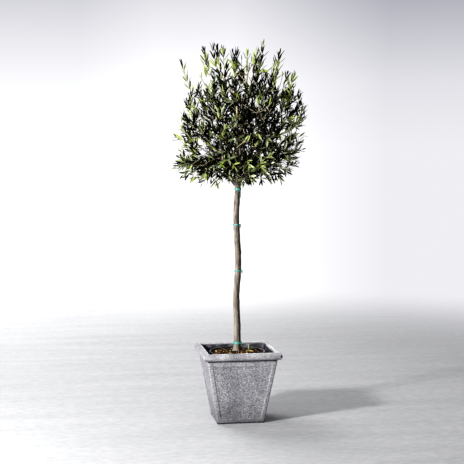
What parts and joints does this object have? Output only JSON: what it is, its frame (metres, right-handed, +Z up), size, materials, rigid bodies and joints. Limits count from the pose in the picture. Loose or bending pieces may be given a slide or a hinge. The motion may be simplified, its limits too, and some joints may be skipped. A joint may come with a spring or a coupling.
{
  "type": "potted olive tree",
  "caption": "Half-standard olive tree with a straight clear stem and a loosely clipped round crown of narrow grey-green leaves, in a tapered square planter with a rolled rim.",
  "frame": {"origin": "middle of the planter's flat underside", "axes": "+Z up along the stem, planter sides facing along X and Y, and the side that shows most in the usual view facing -Y"},
  "size_m": [0.6006, 0.5686, 1.649],
  "materials": {
    "planter": "matt mottled grey fibre clay with a zinc look",
    "nursery_pot": "thin black moulded plastic",
    "soil": "dark compost with bark chips",
    "bark": "smooth grey-tan bark with fine fissures and knots",
    "tape": "thin stretchy teal tying tape",
    "foliage": "leathery olive leaves, dark grey-green above and silvery below"
  },
  "bodies": {
    "root": {"planter": "planter", "nursery_pot": "nursery_pot", "soil": "soil", "trunk": "bark", "tie_1": "tape", "tie_2": "tape", "tie_3": "tape", "tie_4": "tape", "bough_leader": "bark", "bough_shoulder_1": "bark", "bough_shoulder_2": "bark", "bough_shoulder_3": "bark", "bough_shoulder_4": "bark", "bough_skirt_1": "bark", "bough_skirt_2": "bark", "bough_skirt_3": "bark", "bough_skirt_4": "bark", "bough_skirt_5": "bark", "bough_waist_1": "bark", "bough_waist_2": "bark", "bough_waist_3": "bark", "bough_waist_4": "bark", "bough_waist_5": "bark", "bough_top_1": "bark", "bough_top_2": "bark", "bough_top_3": "bark", "foliage_shoulder_1": "foliage", "foliage_shoulder_2": "foliage", "foliage_shoulder_3": "foliage", "foliage_shoulder_4": "foliage", "foliage_skirt_1": "foliage", "foliage_skirt_2": "foliage", "foliage_skirt_3": "foliage", "foliage_skirt_4": "foliage", "foliage_skirt_5": "foliage", "foliage_waist_1": "foliage", "foliage_waist_2": "foliage", "foliage_waist_3": "foliage", "foliage_waist_4": "foliage", "foliage_waist_5": "foliage", "foliage_top_1": "foliage", "foliage_top_2": "foliage", "foliage_top_3": "foliage"}
  },
  "joints": []
}
